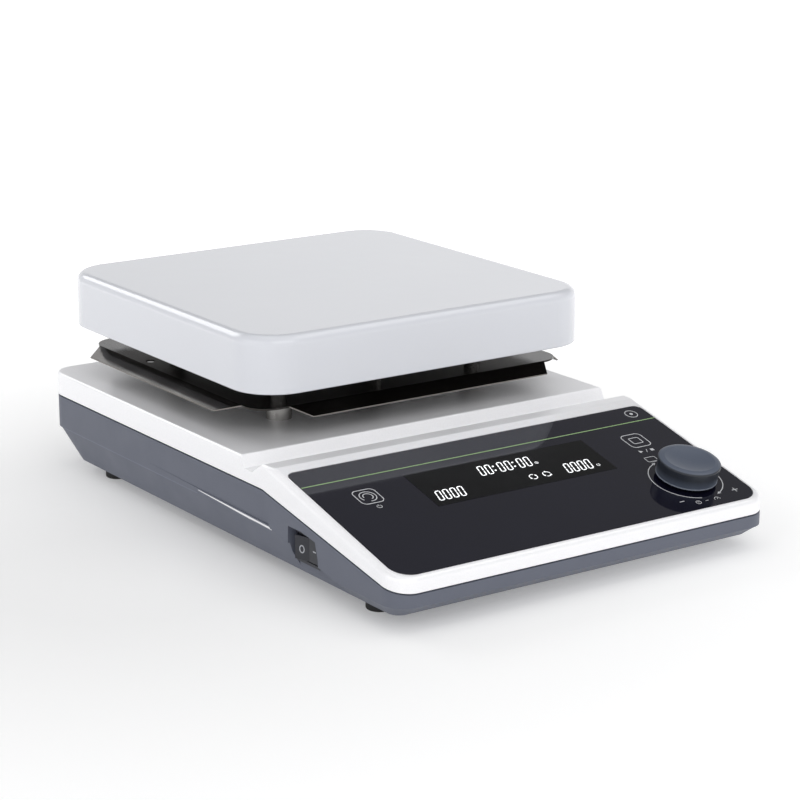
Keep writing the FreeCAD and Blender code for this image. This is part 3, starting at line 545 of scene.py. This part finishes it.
def accent_line(work):
    band(work, [(-99.4, 76.2), (99.4, 76.2)], 0.55, False, LOW, HIGH)


def left_key(work):
    cx, cs = -75.2, 60.2
    band(work, rounded_square(cx, cs, 5.7, 5.7, 2.6), KEY_LINE, True, LOW, HIGH)
    band(work, arc(cx, cs, 3.9, -100, 215), KEY_LINE, False, LOW, HIGH)
    band(work, arc(cx, cs, 2.3, -70, 190), KEY_LINE, False, LOW, HIGH)


def right_key(work):
    cx, cs = 75.6, 60.7
    band(work, rounded_square(cx, cs, 5.7, 5.7, 2.6), KEY_LINE, True, LOW, HIGH)
    band(work, rounded_square(cx, cs, 2.7, 2.5, 0.7), KEY_LINE, True, LOW, HIGH)


def power_symbol(work):
    cx, cs = -75.0, 51.2
    band(work, arc(cx, cs, 1.15, 125, 415), 0.3, False, LOW, HIGH)
    band(work, [(cx, cs + 0.3), (cx, cs + 1.5)], 0.3, False, LOW, HIGH)


def start_stop_symbols(work):
    s = 51.1
    prism(work, [(70.2, s - 1.1), (72.2, s), (70.2, s + 1.1)], LOW, HIGH)
    band(work, [(73.9, s - 1.2), (75.1, s + 1.2)], 0.3, False, LOW, HIGH)
    prism(work, [(76.8, s - 0.9), (78.6, s - 0.9), (78.6, s + 0.9), (76.8, s + 0.9)], LOW, HIGH)


def corner_indicator(work):
    band(work, circle(90.6, 83.0, 3.1), 0.4, True, LOW, HIGH)
    prism(work, circle(90.6, 83.0, 0.9, 24), LOW, HIGH)


def knob_hint(work):
    band(work, rounded_square(71.2, 43.7, 2.9, 1.9, 0.5), 0.35, True, LOW, HIGH)
    band(work, [(69.6, 41.3), (72.8, 41.3)], 0.3, False, LOW, HIGH)


def dial_arcs(work):
    band(work, arc(KNOB_X, KNOB_S, DIAL_R, 110, 256, 60), DIAL_LINE, False, LOW, HIGH)
    arrow_head(work, KNOB_X, KNOB_S, DIAL_R, 110, -1, DIAL_ARROW)
    band(work, arc(KNOB_X, KNOB_S, DIAL_R, 4, -66, 40), DIAL_LINE, False, LOW, HIGH)
    arrow_head(work, KNOB_X, KNOB_S, DIAL_R, -66, -1, DIAL_ARROW)


def plus_minus(work):
    band(work, [(58.1, 7.0), (60.7, 7.0)], DIAL_LINE, False, LOW, HIGH)
    x, s = 91.0, 7.2
    arm = 1.7
    t = 0.2
    for points in (
        [(x - arm, s - t), (x + arm, s - t), (x + arm, s + t), (x - arm, s + t)],
        [(x - t, s + t), (x + t, s + t), (x + t, s + arm), (x - t, s + arm)],
        [(x - t, s - arm), (x + t, s - arm), (x + t, s - t), (x - t, s - t)],
    ):
        prism(work, points, LOW, HIGH)


def dial_symbols(work):
    """A clock for the timer and a gauge for the speed, with a dash between them."""
    s = 3.8
    band(work, circle(66.6, s, 1.25, 28), 0.28, True, LOW, HIGH)
    band(work, [(66.6, s + 0.85), (66.6, s), (67.2, s)], 0.25, False, LOW, HIGH)
    band(work, [(70.6, s), (72.4, s)], 0.25, False, LOW, HIGH)
    band(work, arc(77.4, s - 0.5, 1.5, -10, 190, 24), 0.28, False, LOW, HIGH)
    band(work, [(77.3, s - 0.6), (78.1, s + 0.4)], 0.25, False, LOW, HIGH)


printed("panel_accent_line", accent_line, "ink_green")
printed("panel_key_left", left_key)
printed("panel_key_right", right_key)
printed("panel_power_symbol", power_symbol)
printed("panel_start_stop_symbols", start_stop_symbols)
printed("panel_corner_indicator", corner_indicator)
printed("panel_knob_hint", knob_hint)
printed("panel_dial_arcs", dial_arcs)
printed("panel_plus_minus", plus_minus)
printed("panel_dial_symbols", dial_symbols)


# ---------------------------------------------------------------- shield edges, rocker and knob
def paddle_matrix(x, y, z, lean):
    """Frame on a face of the rocker paddle: right is towards the front, height is outwards."""
    right = Vector((math.sin(lean), -math.cos(lean), 0.0))
    up = Vector((0.0, 0.0, 1.0))
    out = right.cross(up)
    turn = Matrix((right, up, out)).transposed().to_4x4()
    return Matrix.Translation(Vector((x, y, z)) * MM) @ turn


def off_symbol(work):
    angles = [math.tau * k / 36 for k in range(36)]
    ellipse = [(1.25 * math.cos(a), 1.6 * math.sin(a)) for a in angles]
    band(work, ellipse, 0.5, True, LOW, HIGH)


def on_symbol(work):
    band(work, [(-1.1, 0.0), (1.1, 0.0)], 0.55, False, LOW, HIGH)


def knob_edge(work):
    band(work, circle(KNOB_X, KNOB_S, KNOB_FOOT_R, 96), 0.4, True, 1.96, 2.34)


def bead(work, path, thick):
    """Closed square bead along a path of (x, y, z) points."""
    rings = []
    for i, point in enumerate(path):
        here = Vector(point)
        before = Vector(path[max(i - 1, 0)])
        after = Vector(path[min(i + 1, len(path) - 1)])
        ahead = (after - before).normalized()
        side = ahead.cross(Vector((0.0, 0.0, 1.0))).normalized()
        rise = side.cross(ahead)
        ring = []
        for a, b in ((-1, -1), (1, -1), (1, 1), (-1, 1)):
            ring.append(work.verts.new(here + (side * a + rise * b) * thick / 2))
        rings.append(ring)
    for a, b in zip(rings, rings[1:]):
        for k in range(4):
            m = (k + 1) % 4
            work.faces.new((a[k], a[m], b[m], b[k]))
    work.faces.new(rings[0][::-1])
    work.faces.new(rings[-1])


def shield_edges(work):
    """Sheared edges of the four bent wings of the shield, as beads of paler metal: partly the edges'
    own colour and partly a painted highlight along them.
    """
    top = WING_FOLD_Z
    low = WING_EDGE_Z
    for s in (-1, 1):
        y = SHIELD_Y + s * 80.0
        out = SHIELD_Y + s * 86.6
        path = [(s * 70.3, y, top), (s * 61.7, out, low), (-s * 72.6, out, low), (-s * 75.5, y, top)]
        bead(work, path, CUT_EDGE_T)
        x = s * 87.3
        far = s * 93.9
        path = [
            (x, SHIELD_Y + s * 66.0, top), (far, SHIELD_Y + s * 52.5, low),
            (far, SHIELD_Y - s * 67.6, low), (x, SHIELD_Y - s * 69.6, top),
        ]
        bead(work, path, CUT_EDGE_T)


mesh_piece("shield_cut_edges", shield_edges, "cut_edge", "base", Matrix.Identity(4))
mesh_piece("rocker_symbol_off", off_symbol, "mark", "power_rocker",
           paddle_matrix(-100.81, -78.4, 17.5, 0.3043))
mesh_piece("rocker_symbol_on", on_symbol, "mark", "power_rocker",
           paddle_matrix(-99.54, -86.4, 18.0, 0.0087))
# the foot ring carries the light grey painted highlight of the knob's lower edge
mesh_piece("knob_edge_ring", knob_edge, "knob_edge", "control_knob", panel_matrix())


# ---------------------------------------------------------------- display
DIGIT_W = 2.35
DIGIT_H = 7.4
DIGIT_LEAN = 0.24
STROKE = 0.56
DIGIT_PITCH = 3.95
CLOCK_S = 58.0
TURN_S = 49.2
TURN_R = 1.9
LIT_LOW = HIGH + 0.01
LIT_HIGH = LIT_LOW + 0.04


def display_window(work):
    prism(work, rounded_square(0.0, 56.1, 50.0, 13.9, 0.3, 4), LOW, HIGH)


def leaned(x, s, points):
    return [(x + px + ps * DIGIT_LEAN, s + ps) for px, ps in points]


def segment(work, x, s, a, b):
    """One lit bar with pointed ends between two digit corners."""
    start = Vector(a)
    end = Vector(b)
    ahead = (end - start).normalized()
    across = Vector((-ahead.y, ahead.x)) * STROKE / 2
    gap = 0.12
    p = start + ahead * gap
    q = end - ahead * gap
    inset = ahead * STROKE / 2
    outline = [p, p + inset - across, q - inset - across, q, q - inset + across, p + inset + across]
    prism(work, leaned(x, s, [(v.x, v.y) for v in outline]), LIT_LOW, LIT_HIGH)


def zero(work, x, s):
    mid = DIGIT_H / 2
    left, right = 0.0, DIGIT_W
    for a, b in (
        ((left, 0.0), (right, 0.0)),
        ((right, 0.0), (right, mid)),
        ((right, mid), (right, DIGIT_H)),
        ((right, DIGIT_H), (left, DIGIT_H)),
        ((left, DIGIT_H), (left, mid)),
        ((left, mid), (left, 0.0)),
    ):
        segment(work, x, s, a, b)


def four_zeros(x, s):
    def build(work):
        for k in range(4):
            zero(work, x + DIGIT_PITCH * k, s)
    return build


def clock_digits(work):
    for group in range(3):
        x = -15.1 + 10.9 * group
        zero(work, x, CLOCK_S)
        zero(work, x + 4.1, CLOCK_S)
        if group < 2:
            for ps in (2.0, 5.4):
                dot = [(x + 8.25 + dx, ps + ds) for dx, ds in circle(0.0, 0.0, 0.55, 16)]
                prism(work, leaned(0.0, CLOCK_S, dot), LIT_LOW, LIT_HIGH)


def turn_symbols(work):
    """Two rings of arrows for the turning direction."""
    for cx, breaks in ((6.9, (60, 240)), (14.5, (0, 120, 240))):
        span = 360 / len(breaks) - 42
        for start in breaks:
            points = arc(cx, TURN_S, TURN_R, start, start + span, 16)
            band(work, points, 0.4, False, LIT_LOW, LIT_HIGH)
            arrow_head_lit(work, cx, TURN_S, TURN_R, start + span, 1.0)


def arrow_head_lit(work, cx, cs, radius, angle, size):
    a = math.radians(angle)
    tip = Vector((-math.sin(a), math.cos(a)))
    out = Vector((math.cos(a), math.sin(a)))
    foot = Vector((cx, cs)) + out * radius
    points = [foot + out * size * 0.6, foot + tip * size, foot - out * size * 0.6]
    prism(work, [(p.x, p.y) for p in points], LIT_LOW, LIT_HIGH)


def unit_marks(work):
    """A small clock beside the time and a small turning arrow beside the speed."""
    band(work, circle(16.2, 59.4, 0.8, 20), 0.2, True, LIT_LOW, LIT_HIGH)
    band(work, [(16.2, 59.95), (16.2, 59.4), (16.6, 59.4)], 0.18, False, LIT_LOW, LIT_HIGH)
    band(work, arc(43.2, 47.9, 0.8, 100, 400, 20), 0.2, False, LIT_LOW, LIT_HIGH)
    arrow_head_lit(work, 43.2, 47.9, 0.8, 400, 0.5)


printed("display_window", display_window, "display")
printed("display_digits_left", four_zeros(-46.3, 46.1), "segment")
printed("display_digits_right", four_zeros(25.3, 46.5), "segment")
printed("display_digits_clock", clock_digits, "segment")
printed("display_turn_symbols", turn_symbols, "segment")
printed("display_unit_marks", unit_marks, "segment")


# ---------------------------------------------------------------- studio (metres)
TARGET = (0.0, 0.0, 0.05)
CAMERA_PLACE = (-0.6461, -0.9421, 0.36335)
CAMERA_AZIMUTH = -34.65
CAMERA_ELEVATION = 15.28
CAMERA_LENS = 111.61
CAMERA_SENSOR = 36.0
FLOOR_RADII = (0.001, 0.5, 1.0, 2.0, 4.0, 9.0)
FLOOR_SIDES = 48
# middle of the painted shade on the floor, to the object's left
FLOOR_SHADE_MIDDLE = (-0.16, -0.02, 0.0)
SKY_STOPS = [(0.0, 0.95), (0.25, 0.85), (0.45, 0.3), (0.62, 0.24), (0.8, 0.25), (1.0, 0.6)]


def outward(azimuth, elevation):
    """Unit direction; azimuth 0 is in front of the object and 90 is to its right."""
    a = math.radians(azimuth)
    e = math.radians(elevation)
    return Vector((math.sin(a) * math.cos(e), -math.cos(a) * math.cos(e), math.sin(e)))


def floor():
    """Round pale floor with a glow that is weakest beside the object and grows outwards; the dim
    middle is a painted shade on the floor.
    """
    work = bmesh.new()
    rings = []
    for radius in FLOOR_RADII:
        ring = []
        for step in range(FLOOR_SIDES):
            angle = step * math.pi / (FLOOR_SIDES / 2)
            ring.append(work.verts.new((radius * math.cos(angle), radius * math.sin(angle), 0.0)))
        rings.append(ring)
    for inner, outer in zip(rings, rings[1:]):
        for i in range(FLOOR_SIDES):
            j = (i + 1) % FLOOR_SIDES
            work.faces.new((inner[i], outer[i], outer[j], inner[j]))
    work.faces.new(rings[0])
    mesh = bpy.data.meshes.new("studio_floor")
    work.to_mesh(mesh)
    work.free()
    made = bpy.data.objects.new("studio_floor", mesh)
    bpy.context.scene.collection.objects.link(made)
    paper = Surface("studio_paper", (226, 226, 226), roughness=0.9)
    paper.mottle(3.0, 0.004)
    paper.set(Emission_Color=(1.0, 1.0, 1.0, 1.0))
    middle = paper.node("ShaderNodeVectorMath", operation="DISTANCE")
    middle.inputs[1].default_value = FLOOR_SHADE_MIDDLE
    paper.link(paper.coords, middle.inputs[0])
    # painted shade: the glow is 0.17 near the middle point and rises to 0.96 about a metre away,
    # darkening the floor beside the object
    glow = paper.remap(middle.outputs["Value"], 0.17, 0.96, 0.06, 1.1)
    paper.link(glow, paper.shader.inputs["Emission Strength"])
    made.data.materials.append(paper.material)


def softbox(name, azimuth, elevation, distance, size, power):
    """Square-on area light aimed at the middle of the object."""
    away = outward(azimuth, elevation)
    data = bpy.data.lights.new(name, "AREA")
    data.shape = "RECTANGLE"
    data.size, data.size_y = size
    data.energy = power
    light = bpy.data.objects.new(name, data)
    light.location = Vector(TARGET) + away * distance
    light.rotation_mode = "QUATERNION"
    light.rotation_quaternion = away.to_track_quat("Z", "Y")
    bpy.context.scene.collection.objects.link(light)


def studio_world():
    """Surround that is bright below and dim at the sides, a little brighter to one side."""
    world = bpy.data.worlds.new("studio_world")
    bpy.context.scene.world = world
    world.use_nodes = True
    tree = world.node_tree
    background = tree.nodes["Background"]
    coords = tree.nodes.new("ShaderNodeTexCoord")
    split = tree.nodes.new("ShaderNodeSeparateXYZ")
    ramp = tree.nodes.new("ShaderNodeValToRGB")
    while len(ramp.color_ramp.elements) < len(SKY_STOPS):
        ramp.color_ramp.elements.new(0.5)
    for element, (place, value) in zip(ramp.color_ramp.elements, SKY_STOPS):
        element.position = place
        element.color = (value, value, value * 1.01, 1.0)
    tree.links.new(coords.outputs["Generated"], split.inputs["Vector"])
    tree.links.new(split.outputs["Z"], ramp.inputs["Fac"])
    tree.links.new(ramp.outputs["Color"], background.inputs["Color"])
    sweep = tree.nodes.new("ShaderNodeMapRange")
    sweep.inputs["From Min"].default_value = 0.4
    sweep.inputs["From Max"].default_value = 0.7
    sweep.inputs["To Min"].default_value = 0.92
    sweep.inputs["To Max"].default_value = 1.15
    tree.links.new(split.outputs["X"], sweep.inputs["Value"])
    tree.links.new(sweep.outputs["Result"], background.inputs["Strength"])


def studio_camera():
    data = bpy.data.cameras.new("studio_camera")
    data.lens = CAMERA_LENS
    data.sensor_width = CAMERA_SENSOR
    data.clip_start = 0.05
    data.clip_end = 60.0
    camera = bpy.data.objects.new("studio_camera", data)
    back = outward(CAMERA_AZIMUTH, CAMERA_ELEVATION)
    camera.location = CAMERA_PLACE
    camera.rotation_mode = "QUATERNION"
    camera.rotation_quaternion = (-back).to_track_quat("-Z", "Y")
    bpy.context.scene.collection.objects.link(camera)
    bpy.context.scene.camera = camera


floor()
studio_world()
softbox("overhead", 60, 84, 2.0, (2.2, 2.2), 6.0)
softbox("front_high", -10, 36, 2.2, (2.2, 1.2), 15.0)
softbox("left_side", -85, 28, 2.2, (2.0, 1.2), 9.0)
softbox("back_left", 198, 33, 2.2, (1.2, 0.8), 8.0)
softbox("right_high", 64, 52, 2.2, (1.5, 0.9), 5.0)
studio_camera()
bpy.context.scene.view_settings.view_transform = "Standard"
